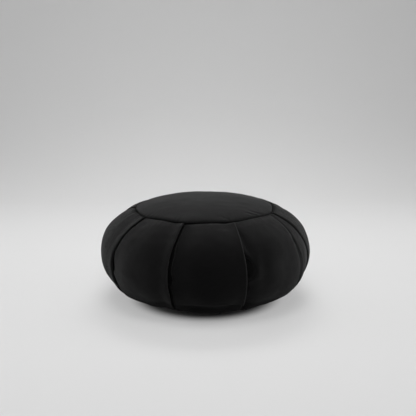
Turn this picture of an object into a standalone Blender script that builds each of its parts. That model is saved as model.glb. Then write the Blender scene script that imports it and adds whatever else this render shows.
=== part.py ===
"""Zafu: a round meditation cushion of black cotton with a pleated side.

A maker cuts three pieces of cloth for it: a top round, a bottom round and one long side strip.
The strip is folded into nine knife pleats, sewn to both rounds and filled tight. Each fold lies
over the panel on its right. It is sewn flat at the two seams and springs open between them, so a
narrow mouth shows beside each fold, pinched once a little below the widest level.

Metres, +Z up. The origin is the middle of the flat foot, on the surface that the cushion rests on.
The front faces -Y, and angles run from the front towards +X.
"""

import math
from typing import NamedTuple

import bmesh
import bpy
import numpy as np

MM = 0.001

# Form of the filled cushion, as a round body without the swell of its panels.
BODY_RADIUS = 176.2 * MM
WAIST_HEIGHT = 89.7 * MM
CROWN_RISE = 91.4 * MM
CROWN_POWER = 2.22
BELLY_DROP = 97.2 * MM
BELLY_POWER = 2.33
FOOT_EASE = 2.0 * MM

# How far a panel swells out between its folds, and how full that swell is down and across it.
PANEL_SWELL = 4.6 * MM
SWELL_POWER_DOWN = 0.6
SWELL_POWER_ACROSS = 0.75

# Where a fold's mouth opens and shuts, as shares of the way down, and how long its pinch is.
MOUTH_OPENS = (0.06, 0.34)
MOUTH_SHUTS = (0.80, 1.00)
PINCH_LENGTH = 0.045

# The seams between the rounds and the side strip, and the rounds' cloth.
SEAM_RADIUS = 119.5 * MM
SEAM_SCALLOP = 1.3 * MM
VALLEY_DEPTH = 4.2 * MM
VALLEY_REACH = 2.2 * MM
ROUND_EDGE_SHORT = 0.9 * MM
CLOTH = 2.4 * MM
CLEARANCE = 0.3 * MM

# How finely the shapes are faceted.
MERIDIAN_STEPS = 400
MIDDLE_ROWS = 20
ROUND_STEPS = 6

BLACK_COTTON = (0.013, 0.013, 0.013, 1.0)
COTTON_ROUGHNESS = 0.85

Point = tuple[float, float, float]


class Pleat(NamedTuple):
    """One knife pleat: its fold's angle in degrees at three levels, and how its mouth opens."""

    top: float
    waist: float
    base: float
    opening: float
    pinch_at: float
    pinch: float


PLEATS = (
    Pleat(top=-92.0, waist=-95.0, base=-97.0, opening=0.80, pinch_at=0.57, pinch=0.6),
    Pleat(top=-53.2, waist=-57.5, base=-59.5, opening=0.95, pinch_at=0.56, pinch=0.8),
    Pleat(top=-15.6, waist=-17.6, base=-20.0, opening=1.00, pinch_at=0.56, pinch=0.8),
    Pleat(top=21.9, waist=20.4, base=23.0, opening=0.90, pinch_at=0.55, pinch=0.8),
    Pleat(top=65.6, waist=74.0, base=80.0, opening=0.55, pinch_at=0.60, pinch=0.3),
    Pleat(top=107.0, waist=111.0, base=114.0, opening=0.75, pinch_at=0.52, pinch=0.7),
    Pleat(top=147.0, waist=149.0, base=150.5, opening=0.90, pinch_at=0.58, pinch=0.7),
    Pleat(top=186.5, waist=187.0, base=188.0, opening=0.60, pinch_at=0.54, pinch=0.5),
    Pleat(top=227.5, waist=226.0, base=225.5, opening=0.85, pinch_at=0.57, pinch=0.8),
)


class SectionPoint(NamedTuple):
    """One point of a panel's level section, from under its left neighbour's fold to its own.

    edge says what the distances across are measured from: the fold on the left, the fold on the
    right, or, for share, the left fold as a share of the panel's width. Other distances, and
    heights above the body, are in millimetres: sewn at the seam, shut, and fully open.
    """

    edge: str
    sewn: float
    shut: float
    shut_height: float
    open: float
    open_height: float


SECTION = (
    SectionPoint("left", 0.0, -3.0, -1.8, -9.0, -6.2),
    SectionPoint("left", 0.8, -1.2, -2.4, -3.5, -8.8),
    SectionPoint("left", 1.8, 1.0, -2.0, 2.0, -7.6),
    SectionPoint("left", 4.0, 3.4, -0.8, 6.0, -3.0),
    SectionPoint("left", 9.0, 8.0, 0.0, 12.5, 0.6),
    SectionPoint("share", 0.28, 0.28, 0.0, 0.29, 0.3),
    SectionPoint("share", 0.49, 0.49, 0.0, 0.49, 0.0),
    SectionPoint("share", 0.68, 0.68, 0.0, 0.67, -0.3),
    SectionPoint("right", -18.0, -17.0, -0.4, -21.0, -1.6),
    SectionPoint("right", -9.0, -8.0, 0.4, -9.5, 0.2),
    SectionPoint("right", -4.0, -1.6, 0.7, -2.2, 1.1),
    SectionPoint("right", -2.4, 0.0, -0.4, 0.0, -0.3),
    SectionPoint("right", -1.2, -1.8, -1.3, -3.8, -2.9),
)

# How far each row by a seam lies from it, before the even rows between the seams.
SEAM_ROWS = (0.0, 1.2 * MM, 3.4 * MM, 7.0 * MM)
FIRST_EVEN_ROW = 13.0 * MM

# How far in from its seam each ring of a round lies, and how deep the filling lies under it.
ROUND_RINGS = (
    (0.5 * MM, 5.6 * MM),
    (1.8 * MM, 4.6 * MM),
    (4.5 * MM, 3.2 * MM),
    (12.0 * MM, 2.7 * MM),
    (30.0 * MM, 2.7 * MM),
    (48.0 * MM, 2.7 * MM),
    (84.0 * MM, 2.7 * MM),
)


def smooth(low: float, high: float, value: float) -> float:
    """A soft step from 0 at low to 1 at high."""
    t = min(1.0, max(0.0, (value - low) / (high - low)))
    return t * t * (3.0 - 2.0 * t)


def bow(share: float, power: float) -> float:
    """How full a bulge is at a share of its length: 1 in the middle, 0 at and past its ends."""
    return math.sin(math.pi * share) ** power if 0.0 < share < 1.0 else 0.0


def settled(height: np.ndarray) -> np.ndarray:
    """Heights with all that would sink below the floor laid flat on it, over a soft bend."""
    bend = (height + FOOT_EASE) ** 2 / (4.0 * FOOT_EASE)
    return np.where(height < -FOOT_EASE, 0.0, np.where(height > FOOT_EASE, height, bend))


class Meridian:
    """The body's outline from the crown's middle down to the foot's, by length along it."""

    def __init__(self) -> None:
        turn = np.linspace(0.0, math.pi / 2, MERIDIAN_STEPS)
        sine, cosine = np.sin(turn), np.cos(turn)
        crown = WAIST_HEIGHT + CROWN_RISE * cosine ** (2 / CROWN_POWER)
        belly = settled(WAIST_HEIGHT - BELLY_DROP * sine ** (2 / BELLY_POWER))
        bows = (sine ** (2 / CROWN_POWER), cosine[1:] ** (2 / BELLY_POWER))
        self.radius = BODY_RADIUS * np.concatenate(bows)
        self.height = np.concatenate([crown, belly[1:]])
        steps = np.hypot(np.diff(self.radius), np.diff(self.height))
        self.along = np.concatenate([[0.0], np.cumsum(steps)])
        out = np.stack([-np.gradient(self.height, self.along), np.gradient(self.radius, self.along)])
        self.out = out / np.linalg.norm(out, axis=0)
        waist = MERIDIAN_STEPS
        self.top_seam = float(np.interp(SEAM_RADIUS, self.radius[:waist], self.along[:waist]))
        self.base_seam = float(np.interp(-SEAM_RADIUS, -self.radius[waist:], self.along[waist:]))
        self.length = float(self.along[-1])

    def ring(self, along: float) -> float:
        """The body's radius at a length along the outline."""
        return float(np.interp(along, self.along, self.radius))

    def point(self, along: float, angle: float, height: float) -> Point:
        """A place on the body: how far along the outline, at what angle, how high off the skin."""
        rows = (self.radius, self.height, *self.out)
        radius, level, out_radius, out_level = (float(np.interp(along, self.along, row)) for row in rows)
        reach = radius + out_radius * height
        return reach * math.sin(angle), -reach * math.cos(angle), level + out_level * height


BODY = Meridian()


def fold_angles(down: float) -> list[float]:
    """The folds' angles in radians, a share of the way down the side, and the first again a turn on."""
    weights = ((1 - down) * (1 - 2 * down), 4 * down * (1 - down), down * (2 * down - 1))
    angles = [math.radians(np.dot(weights, (pleat.top, pleat.waist, pleat.base))) for pleat in PLEATS]
    return [*angles, angles[0] + 2 * math.pi]


def mouth_opening(pleat: Pleat, down: float) -> float:
    """How far the pleat is open: 0 shut, 1 fully open, with its pinch below the waist."""
    hump = smooth(*MOUTH_OPENS, down) * (1 - smooth(*MOUTH_SHUTS, down))
    pinch = pleat.pinch * math.exp(-(((down - pleat.pinch_at) / PINCH_LENGTH) ** 2))
    return pleat.opening * hump * (1 - pinch)


def seam_scallop(share: float) -> float:
    """How far the seam reaches out of its circle, by the share of a panel: most at the folds."""
    return SEAM_SCALLOP * math.cos(2 * math.pi * share)


def seam_dip(distance: float) -> float:
    """How deep the cloth is drawn in at a distance from a seam."""
    return VALLEY_DEPTH * math.exp(-distance / VALLEY_REACH)


def side_row(down: float, from_seam: float) -> list[Point]:
    """One closed row of the pleated side, at a share of the way down between the two seams."""
    angles = fold_angles(down)
    openings = [mouth_opening(pleat, down) for pleat in PLEATS]
    openings.append(openings[0])
    span = BODY.base_seam - BODY.top_seam
    ring = BODY.ring(BODY.top_seam + down * span)
    loose = smooth(0.0, SEAM_ROWS[-1], from_seam)
    swell = PANEL_SWELL * bow(down, SWELL_POWER_DOWN)
    points = []
    for index in range(len(PLEATS)):
        left, right = angles[index], angles[index + 1]
        width = ring * (right - left)
        for spot in SECTION:
            opening = openings[index + 1] if spot.edge == "right" else openings[index]
            across = spot.shut + (spot.open - spot.shut) * opening
            across = spot.sewn + (across - spot.sewn) * loose
            share = across if spot.edge == "share" else across * MM / width + (spot.edge == "right")
            height = (spot.shut_height + (spot.open_height - spot.shut_height) * opening) * MM * loose
            height += swell * bow(share, SWELL_POWER_ACROSS) - seam_dip(from_seam)
            reach = seam_scallop(share) * (1 - 2 * down)
            along = BODY.top_seam + down * span + reach
            points.append(BODY.point(along, left + share * (right - left), height))
    return points


def round_ring(at_top: bool, inwards: float, depth: float) -> list[Point]:
    """One closed ring under or on a round, a distance in from its seam and a depth into the body."""
    seam = BODY.top_seam if at_top else BODY.length - BODY.base_seam
    angles = fold_angles(0.0 if at_top else 1.0)
    points = []
    for left, right in zip(angles, angles[1:]):
        for step in range(ROUND_STEPS):
            share = step / ROUND_STEPS
            reach = seam - inwards + seam_scallop(share) * (1 - inwards / seam)
            along = reach if at_top else BODY.length - reach
            points.append(BODY.point(along, left + share * (right - left), -depth))
    return points


def new_ring(form: bmesh.types.BMesh, points: list[Point]) -> list[bmesh.types.BMEdge]:
    """A closed ring of edges through points."""
    verts = [form.verts.new(point) for point in points]
    return [form.edges.new((one, other)) for one, other in zip(verts, [*verts[1:], verts[0]])]


def loft(name: str, rows: list[list[Point]], start: Point | None, end: Point) -> bpy.types.Object:
    """A mesh bridged through closed rows, fanned to an end point and, where given, a start point."""
    form = bmesh.new()
    rings = [new_ring(form, row) for row in rows]
    for upper, lower in zip(rings, rings[1:]):
        bmesh.ops.bridge_loops(form, edges=[*upper, *lower])
    for tip, ring in ((start, rings[0]), (end, rings[-1])):
        if tip is None:
            continue
        middle = form.verts.new(tip)
        for edge in ring:
            form.faces.new((*edge.verts, middle))
    bmesh.ops.recalc_face_normals(form, faces=form.faces)
    mesh = bpy.data.meshes.new(name)
    form.to_mesh(mesh)
    form.free()
    return bpy.data.objects.new(name, mesh)


def pleated_side() -> bpy.types.Object:
    """The filled body under the side strip, with its nine knife pleats."""
    length = BODY.base_seam - BODY.top_seam
    even = np.linspace(FIRST_EVEN_ROW, length - FIRST_EVEN_ROW, MIDDLE_ROWS)
    distances = [*SEAM_ROWS, *even, *(length - gap for gap in reversed(SEAM_ROWS))]
    side = [side_row(gap / length, min(gap, length - gap)) for gap in distances]
    upper = [round_ring(True, inwards, bed) for inwards, bed in reversed(ROUND_RINGS)]
    lower = [round_ring(False, inwards, bed) for inwards, bed in ROUND_RINGS]
    crown, foot = (BODY.point(along, 0.0, -CLOTH - CLEARANCE) for along in (0.0, BODY.length))
    return loft("pleated_side", [*upper, *side, *lower], crown, foot)


def round_panel(name: str, at_top: bool) -> bpy.types.Object:
    """A round of cloth with its edge turned down into the seam, as a shell."""
    rings = [inwards for inwards, _bed in ROUND_RINGS]
    rows = [round_ring(at_top, inwards, seam_dip(inwards + ROUND_EDGE_SHORT)) for inwards in rings]
    panel = loft(name, rows, None, BODY.point(0.0 if at_top else BODY.length, 0.0, 0.0))
    turn_out(panel.data, up=at_top)
    shell = panel.modifiers.new("cloth", "SOLIDIFY")
    shell.thickness = CLOTH
    shell.offset = -1.0
    return panel


def turn_out(mesh: bpy.types.Mesh, up: bool) -> None:
    """Turns an open round's faces to look up for the top round, and down for the bottom one."""
    form = bmesh.new()
    form.from_mesh(mesh)
    looks_up = sum(face.normal.z * face.calc_area() for face in form.faces) > 0
    if looks_up != up:
        bmesh.ops.reverse_faces(form, faces=form.faces)
    form.to_mesh(mesh)
    form.free()


def cotton() -> bpy.types.Material:
    """Matt black cotton, the one cloth of all three pieces."""
    material = bpy.data.materials.new("black_cotton")
    material.use_nodes = True
    surface = material.node_tree.nodes["Principled BSDF"]
    surface.inputs["Base Color"].default_value = BLACK_COTTON
    surface.inputs["Roughness"].default_value = COTTON_ROUGHNESS
    surface.inputs["Metallic"].default_value = 0.0
    return material


def main() -> None:
    """Clears the scene and builds the cushion in a collection of its own."""
    for old in list(bpy.data.objects):
        bpy.data.objects.remove(old)
    zafu = bpy.data.collections.new("zafu")
    bpy.context.scene.collection.children.link(zafu)
    cloth = cotton()
    top, bottom = round_panel("top_round", at_top=True), round_panel("bottom_round", at_top=False)
    for piece in (top, pleated_side(), bottom):
        zafu.objects.link(piece)
        piece.data.materials.append(cloth)
        piece.data.shade_smooth()


main()
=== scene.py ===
"""The looks of a round meditation cushion of black cotton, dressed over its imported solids.

The cushion has a crowned top round, a long side strip folded into nine knife pleats, and a bottom
round that it rests on. Each solid is replaced by a finer skin of the same form: rolled fold edges
with open mouths beside them, a drawn-in seam with its puckers, and soft creases in the cloth.

Lengths are in metres, with MM for a millimetre. The front faces -Y, and angles run from the front
towards +X. Places on the side are given as shares of the way down from the top seam to the base.
"""

import logging
import math
from dataclasses import dataclass
from enum import Enum
from functools import cached_property

import bpy
import numpy as np
from mathutils import Euler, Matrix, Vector


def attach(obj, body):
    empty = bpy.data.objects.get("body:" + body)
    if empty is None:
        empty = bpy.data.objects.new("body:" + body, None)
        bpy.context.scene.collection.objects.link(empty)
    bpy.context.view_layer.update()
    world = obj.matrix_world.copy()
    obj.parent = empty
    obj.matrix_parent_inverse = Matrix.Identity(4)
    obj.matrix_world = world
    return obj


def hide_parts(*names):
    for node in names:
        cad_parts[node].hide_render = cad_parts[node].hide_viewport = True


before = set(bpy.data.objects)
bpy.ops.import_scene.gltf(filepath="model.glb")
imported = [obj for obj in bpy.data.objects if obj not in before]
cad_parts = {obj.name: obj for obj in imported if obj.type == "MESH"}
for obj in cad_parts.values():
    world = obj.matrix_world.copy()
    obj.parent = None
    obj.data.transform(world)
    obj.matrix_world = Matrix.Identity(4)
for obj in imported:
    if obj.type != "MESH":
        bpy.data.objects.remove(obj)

MM = 0.001
FULL_TURN = 2.0 * math.pi
LOG = logging.getLogger("zafu")


class Seam(Enum):
    """The two round seams of the cushion."""

    TOP = "top"
    BASE = "base"


class Edge(Enum):
    """What a section point's distance across a panel is measured from."""

    LEFT_FOLD = "left fold"
    MIDDLE = "middle"
    RIGHT_FOLD = "right fold"


def smooth(low: float, high: float, value: np.ndarray | float) -> np.ndarray:
    """A soft step.

    Args:
        low: Where the step starts.
        high: Where the step ends.
        value: Where it is read.

    Returns:
        0 up to low, 1 from high on, and a soft rise between them.
    """
    t = np.clip((np.asarray(value) - low) / (high - low), 0.0, 1.0)
    return t * t * (3.0 - 2.0 * t)


def bow(share: np.ndarray, power: float) -> np.ndarray:
    """How full a bulge is at a share of its length: 1 in the middle, 0 at and past its ends."""
    return np.sin(math.pi * np.clip(share, 0.0, 1.0)) ** power


def bell(distance: np.ndarray, width: float) -> np.ndarray:
    """A soft hump: 1 at no distance, falling away over the width."""
    return np.exp(-((distance / width) ** 2))


def signed(angle: np.ndarray) -> np.ndarray:
    """Angles put within half a turn of 0, either way."""
    return (angle + math.pi) % FULL_TURN - math.pi


def through(values: tuple[float, ...], share: np.ndarray) -> np.ndarray:
    """Reads a soft curve through values that stand at even stations.

    Args:
        values: The values, from share 0 to share 1.
        share: Where the curve is read.

    Returns:
        The curve's values there.
    """
    padded = np.array([2 * values[0] - values[1], *values, 2 * values[-1] - values[-2]])
    place = np.clip(share, 0.0, 1.0) * (len(values) - 1)
    start = np.minimum(place.astype(int), len(values) - 2)
    t = place - start
    before, here, after, beyond = (padded[start + step] for step in range(4))
    slope_here, slope_after = (after - before) / 2, (beyond - here) / 2
    rise = after - here
    return here + t * slope_here + t * t * (3 * rise - 2 * slope_here - slope_after) + t**3 * (
        slope_here + slope_after - 2 * rise
    )


@dataclass(frozen=True)
class Outline:
    """The filled body's outline, from the crown's middle down to the middle of the flat foot.

    The crown and the belly are power curves that meet at the waist, where an ellipse has power 2.
    The belly would drop further than the floor, and eases into it.
    """

    radius: float = 176.2 * MM
    waist_height: float = 89.7 * MM
    crown_rise: float = 91.4 * MM
    crown_power: float = 2.22
    belly_drop: float = 97.2 * MM
    belly_power: float = 2.33
    foot_ease: float = 2.0 * MM
    seam_radius: float = 119.5 * MM
    steps: int = 6000

    @cached_property
    def table(self) -> np.ndarray:
        """The outline's stations.

        Returns:
            Rows of length along it, radius, height and the two parts of its outward normal.
        """
        turn = np.linspace(0.0, math.pi / 2, self.steps)
        sine, cosine = np.sin(turn), np.cos(turn)
        crown = self.waist_height + self.crown_rise * cosine ** (2 / self.crown_power)
        belly = self.waist_height - self.belly_drop * sine[1:] ** (2 / self.belly_power)
        bend = (belly + self.foot_ease) ** 2 / (4 * self.foot_ease)
        belly = np.where(belly < -self.foot_ease, 0.0, np.where(belly > self.foot_ease, belly, bend))
        bows = (sine ** (2 / self.crown_power), cosine[1:] ** (2 / self.belly_power))
        radius = self.radius * np.concatenate(bows)
        height = np.concatenate([crown, belly])
        along = np.concatenate([[0.0], np.cumsum(np.hypot(np.diff(radius), np.diff(height)))])
        out = np.stack([-np.gradient(height, along), np.gradient(radius, along)])
        out /= np.maximum(np.linalg.norm(out, axis=0), 1e-9)
        return np.stack([along, radius, height, *out])

    @cached_property
    def top_seam(self) -> float:
        """How far along the outline the top seam lies."""
        along, radius = self.table[0, : self.steps], self.table[1, : self.steps]
        return float(np.interp(self.seam_radius, radius, along))

    @cached_property
    def base_seam(self) -> float:
        """How far along the outline the base seam lies."""
        along, radius = self.table[0, self.steps :], self.table[1, self.steps :]
        return float(np.interp(-self.seam_radius, -radius, along))

    @cached_property
    def span(self) -> float:
        """The side's height along the outline, from seam to seam."""
        return self.base_seam - self.top_seam

    def reach(self, seam: Seam) -> float:
        """How far the seam lies from the middle of its round, along the outline."""
        return self.top_seam if seam is Seam.TOP else float(self.table[0, -1]) - self.base_seam

    def ring(self, along: np.ndarray) -> np.ndarray:
        """The body's radius at lengths along the outline."""
        return np.interp(along, self.table[0], self.table[1])

    def place(self, along: np.ndarray, angle: np.ndarray, height: np.ndarray) -> np.ndarray:
        """Finds points on the body.

        Args:
            along: Lengths along the outline.
            angle: Angles round the body, in radians.
            height: Heights off the skin.

        Returns:
            The points, with their three coordinates on the last axis.
        """
        read = (np.interp(along, self.table[0], row) for row in self.table[1:])
        radius, level, out_radius, out_level = read
        reach, level = radius + out_radius * height, level + out_level * height
        return np.stack([reach * np.sin(angle), -reach * np.cos(angle), level], axis=-1)


BODY = Outline()


@dataclass(frozen=True)
class Undulation:
    """An uneven, smooth rise and fall of the cloth over the filling, the same at each run."""

    seed: int
    wavelength: float
    height: float
    waves: int = 28
    length_play: tuple[float, float] = (0.7, 1.4)

    def at(self, points: np.ndarray) -> np.ndarray:
        """Adds up waves that run every way through space.

        Args:
            points: Where they are read, with three coordinates on the last axis.

        Returns:
            Heights at the points.
        """
        draw = np.random.default_rng(self.seed)
        headings = draw.normal(size=(self.waves, 3))
        headings /= np.linalg.norm(headings, axis=1, keepdims=True)
        lengths = self.wavelength * draw.uniform(*self.length_play, self.waves)
        phases = draw.uniform(0.0, FULL_TURN, self.waves)
        field = np.zeros(points.shape[:-1])
        for heading, length, phase in zip(headings, lengths, phases):
            field += np.cos(points @ heading * (FULL_TURN / length) + phase)
        return field * (self.height / math.sqrt(self.waves / 2))


@dataclass(frozen=True)
class Puckers:
    """Small gathers where the sewing thread draws the cloth in, along one side of a seam."""

    seed: int
    height: float = 0.5 * MM
    reach: float = 8.0 * MM
    ease: float = 2.0 * MM
    waves: int = 16
    waves_per_turn: tuple[int, int] = (62, 118)
    patches_per_turn: tuple[int, int] = (3, 14)
    patchiness: float = 0.45

    def at(self, angle: np.ndarray, from_seam: np.ndarray) -> np.ndarray:
        """Adds up gathers of several spacings, which come and go in patches round the seam.

        Args:
            angle: Angles round the seam.
            from_seam: Distances from it.

        Returns:
            Heights there, which are 0 in the seam and fade away from it.
        """
        draw = np.random.default_rng(self.seed)
        counts = draw.integers(*self.waves_per_turn, self.waves)
        phases = draw.uniform(0.0, FULL_TURN, self.waves)
        slow = draw.integers(*self.patches_per_turn, 2)
        field = sum(np.cos(count * angle + phase) for count, phase in zip(counts, phases))
        patches = np.cos(slow[0] * angle + phases[0]) * np.cos(slow[1] * angle + phases[1])
        field = field * (1 - self.patchiness + self.patchiness * patches)
        fade = np.exp(-from_seam / self.reach) * smooth(0.0, self.ease, from_seam)
        return self.height / math.sqrt(self.waves / 2) * field * fade


@dataclass(frozen=True)
class SeamValley:
    """How the cloth is drawn down into a seam on both sides of it."""

    depth: float = 5.4 * MM
    reach: float = 2.0 * MM
    scallop: float = 1.3 * MM
    lean: tuple[float, float] = (-1.6 * MM, 1.9 * MM)

    def dip(self, from_seam: np.ndarray) -> np.ndarray:
        """How deep the cloth lies at distances from the seam."""
        return self.depth * np.exp(-from_seam / self.reach)

    def corner(self, share: np.ndarray) -> np.ndarray:
        """How far the seam reaches out of its circle, by the share of a panel: most at the folds."""
        return self.scallop * np.cos(FULL_TURN * share)

    def off_middle(self, angle: np.ndarray) -> np.ndarray:
        """How far the top seam reaches out of its circle, as it is sewn on a little off the middle."""
        return self.lean[0] * np.sin(angle) - self.lean[1] * np.cos(angle)


VALLEY = SeamValley()


@dataclass(frozen=True)
class Bulge:
    """A soft local fullness of the side, or with a height below 0 a flatter place.

    Its middle stands at an angle in degrees and a share of the way down. Its reach round the
    cushion, its reach up and down and its height are in millimetres.
    """

    angle: float
    down: float
    wide: float
    tall: float
    height: float

    def at(self, angle: np.ndarray, down: np.ndarray) -> np.ndarray:
        """Reads the bulge.

        Args:
            angle: Angles round the cushion.
            down: Shares of the way down.

        Returns:
            Heights there.
        """
        across = signed(angle - math.radians(self.angle)) * BODY.radius
        below = (down - self.down) * BODY.span
        return self.height * MM * bell(across, self.wide * MM) * bell(below, self.tall * MM)


@dataclass(frozen=True)
class Overhang:
    """A fullness low on the side that hangs over the cloth beneath it.

    It runs between two angles in degrees. Its edge lies a share of the way down, further by the sag
    at both ends, and it is a share of the way tall. Its height and the depth of the hollow beneath
    are in millimetres. The edge turns in, the hollow becomes deep and fades over shares of the way.
    """

    start: float
    end: float
    down: float
    sag: float
    tall: float
    height: float
    hollow: float
    turns_in: float = 0.014
    deep: float = 0.02
    fades: tuple[float, float] = (0.08, 0.18)
    ends: float = 0.4

    def at(self, angle: np.ndarray, down: np.ndarray) -> np.ndarray:
        """Reads the overhang and its hollow.

        Args:
            angle: Angles round the cushion.
            down: Shares of the way down.

        Returns:
            Heights there, below 0 in the hollow.
        """
        share = (np.degrees(signed(angle)) - self.start) / (self.end - self.start)
        below = down - self.down - self.sag * (2 * share - 1) ** 2
        full = self.height * smooth(-self.tall, 0.0, below) * (1 - smooth(0.0, self.turns_in, below))
        under = self.hollow * smooth(0.0, self.deep, below) * (1 - smooth(*self.fades, below))
        return (full - under) * MM * bow(share, self.ends)


@dataclass(frozen=True)
class Crease:
    """A soft ridge, or with a height below 0 a trough, along a bent line in the cloth.

    The line runs through three places. On the side each is an angle in degrees and a share of the
    way down. On a round each is an angle in degrees and a share of the way out to the seam. The
    height and the width are in millimetres. With a panel's number it lies on that panel alone.
    """

    start: tuple[float, float]
    middle: tuple[float, float]
    end: tuple[float, float]
    height: float
    width: float
    panel: int | None = None
    samples: int = 40
    taper: float = 0.8
    margin: float = 3.0

    def line(self) -> np.ndarray:
        """Samples the line.

        Returns:
            Its places from start to end, one a row.
        """
        t = np.linspace(0.0, 1.0, self.samples)[:, None]
        start, middle, end = (np.array(place) for place in (self.start, self.middle, self.end))
        handle = 2 * middle - (start + end) / 2
        return (1 - t) ** 2 * start + 2 * t * (1 - t) * handle + t * t * end

    def over(self, flat: np.ndarray, line: np.ndarray) -> np.ndarray:
        """Reads the crease's height.

        Args:
            flat: Where it is read, as lengths in a flat layout on the last axis.
            line: The crease's line in the same layout.

        Returns:
            Heights, which fade out towards both ends of the line.
        """
        width = self.width * MM
        low, high = line.min(axis=0) - self.margin * width, line.max(axis=0) + self.margin * width
        near = np.all((flat > low) & (flat < high), axis=-1)
        gaps = np.linalg.norm(flat[near][:, None, :] - line[None], axis=-1)
        fade = bow(gaps.argmin(axis=1) / (self.samples - 1), self.taper)
        heights = np.zeros(flat.shape[:-1])
        heights[near] = self.height * MM * fade * bell(gaps.min(axis=1), width)
        return heights


@dataclass(frozen=True)
class Pleat:
    """One knife pleat of the side strip.

    Attributes:
        fold: The fold's angle in degrees at even stations from the top seam to the base seam.
        mouth: How wide it stands open, in millimetres, at shares of the way down.
        crisp: How sharply the panel beneath turns into the mouth, from 0, soft, to 1.
        bead: How far the fold's rolled edge stands up, in millimetres.
        hollow: How deep the cloth dips beside that edge, in millimetres.
        lip: How far the panel beneath stands up past the mouth, in millimetres.
        mouth_shade: Painted shade on the panel beneath, beside the mouth, from 0 to 1.
        rub_and_highlight: How pale the fold's edge is, 0 to 1, by rubbing and a painted highlight.
    """

    fold: tuple[float, ...]
    mouth: tuple[tuple[float, float], ...]
    crisp: float = 0.7
    bead: float = 1.0
    hollow: float = 1.2
    lip: float = 0.4
    mouth_shade: float = 0.0
    rub_and_highlight: float = 0.15

    def open_at(self, down: np.ndarray) -> np.ndarray:
        """How wide the mouth stands open at shares of the way down."""
        return np.interp(down, *zip(*self.mouth))


PLEATS = (
    Pleat(
        (-96.0, -99.0, -101.0, -102.0, -103.0),
        (
            (0.0, 0.3), (0.12, 1.2), (0.3, 2.6), (0.48, 4.6), (0.58, 4.2), (0.6, 2.2), (0.72, 3.6),
            (1.0, 0.3),
        ),
    ),
    Pleat(
        (-54.0, -56.0, -61.3, -63.5, -59.0),
        (
            (0.0, 3.0), (0.04, 5.0), (0.1, 5.0), (0.18, 3.7), (0.26, 4.2), (0.39, 4.8), (0.45, 7.4),
            (0.49, 10.4), (0.53, 11.8), (0.555, 11.6), (0.572, 8.0), (0.585, 6.6), (0.62, 8.6),
            (0.68, 11.2), (0.78, 10.6), (0.9, 7.0), (1.0, 0.3),
        ),
        crisp=1.0,
        bead=0.9,
        hollow=1.1,
        lip=-0.3,
        mouth_shade=0.40,
    ),
    Pleat(
        (-16.3, -18.1, -19.7, -20.0, -23.5),
        (
            (0.0, 2.0), (0.05, 4.6), (0.2, 4.8), (0.29, 5.2), (0.34, 6.2), (0.4, 6.0), (0.47, 5.6),
            (0.54, 7.4), (0.575, 6.4), (0.6, 4.2), (0.65, 5.0), (0.72, 3.4), (0.8, 2.4), (0.88, 1.4),
            (1.0, 0.3),
        ),
        crisp=0.8,
        bead=2.0,
        hollow=2.4,
        lip=-1.0,
        mouth_shade=0.55,
        rub_and_highlight=0.45,
    ),
    Pleat(
        (21.5, 20.2, 20.9, 22.5, 25.2),
        (
            (0.0, 0.1), (0.24, 0.2), (0.3, 0.6), (0.33, 2.6), (0.37, 7.2), (0.42, 10.4), (0.47, 11.4),
            (0.52, 8.4), (0.55, 3.4), (0.565, 1.6), (0.58, 4.0), (0.62, 5.4), (0.67, 1.8), (0.8, 0.3),
            (1.0, 0.1),
        ),
        crisp=0.9,
        bead=2.1,
        hollow=0.5,
        rub_and_highlight=1.0,
    ),
    Pleat(
        (64.8, 68.6, 74.4, 78.6, 81.0),
        (
            (0.0, 3.0), (0.04, 4.6), (0.2, 4.0), (0.35, 3.4), (0.5, 4.0), (0.7, 3.6), (0.8, 2.4),
            (1.0, 0.3),
        ),
        crisp=1.0,
        bead=0.5,
        hollow=0.4,
        lip=1.6,
    ),
    Pleat(
        (106.5, 110.5, 114.0, 115.0, 116.0),
        (
            (0.0, 0.3), (0.15, 2.6), (0.4, 5.8), (0.52, 6.2), (0.55, 2.4), (0.66, 3.8), (0.8, 2.2),
            (1.0, 0.3),
        ),
    ),
    Pleat(
        (146.5, 148.5, 150.5, 151.5, 152.0),
        (
            (0.0, 0.3), (0.2, 1.6), (0.36, 6.6), (0.5, 7.6), (0.56, 3.0), (0.6, 4.4), (0.8, 2.2),
            (1.0, 0.3),
        ),
        crisp=0.5,
        hollow=1.8,
    ),
    Pleat(
        (186.0, 185.6, 186.6, 187.6, 188.0),
        ((0.0, 0.5), (0.1, 3.0), (0.4, 4.8), (0.62, 6.2), (0.64, 2.6), (0.75, 3.2), (1.0, 0.3)),
        crisp=0.9,
        bead=1.5,
    ),
    Pleat(
        (225.5, 224.0, 223.0, 222.4, 222.0),
        (
            (0.0, 0.3), (0.15, 1.6), (0.38, 6.4), (0.5, 7.2), (0.57, 2.6), (0.62, 4.4), (0.85, 1.8),
            (1.0, 0.3),
        ),
        hollow=1.8,
    ),
)


@dataclass(frozen=True)
class SectionPoint:
    """One guide point of a panel's level section, in millimetres.

    Attributes:
        edge: What the distance across is measured from. From the middle it is a share of the panel.
        cuts: How many columns the mesh has from this point to the next.
        shut: Distance across and height where the mouth beside the point is shut.
        crisp: The same where it is open, beside a crisp lip, if that differs.
        soft: The same where it is open, beside a soft lip, if that differs from a crisp one.
        mouth: The share of the mouth's width that is added to the distance across.
        bead: The share of the fold's bead that is added to the height.
        hollow: The share of the hollow beside the fold that is taken off the height.
        lip: The share of the lip's rise that is added to the height.
    """

    edge: Edge
    cuts: int
    shut: tuple[float, float]
    crisp: tuple[float, float] | None = None
    soft: tuple[float, float] | None = None
    mouth: float = 0.0
    bead: float = 0.0
    hollow: float = 0.0
    lip: float = 0.0

    def opened(self, crispness: float) -> np.ndarray:
        """Distance across and height where the mouth is open, by how crisp the lip is."""
        crisp, soft = self.crisp or self.shut, self.soft or self.crisp or self.shut
        return np.array(soft) + (np.array(crisp) - soft) * crispness


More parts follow.
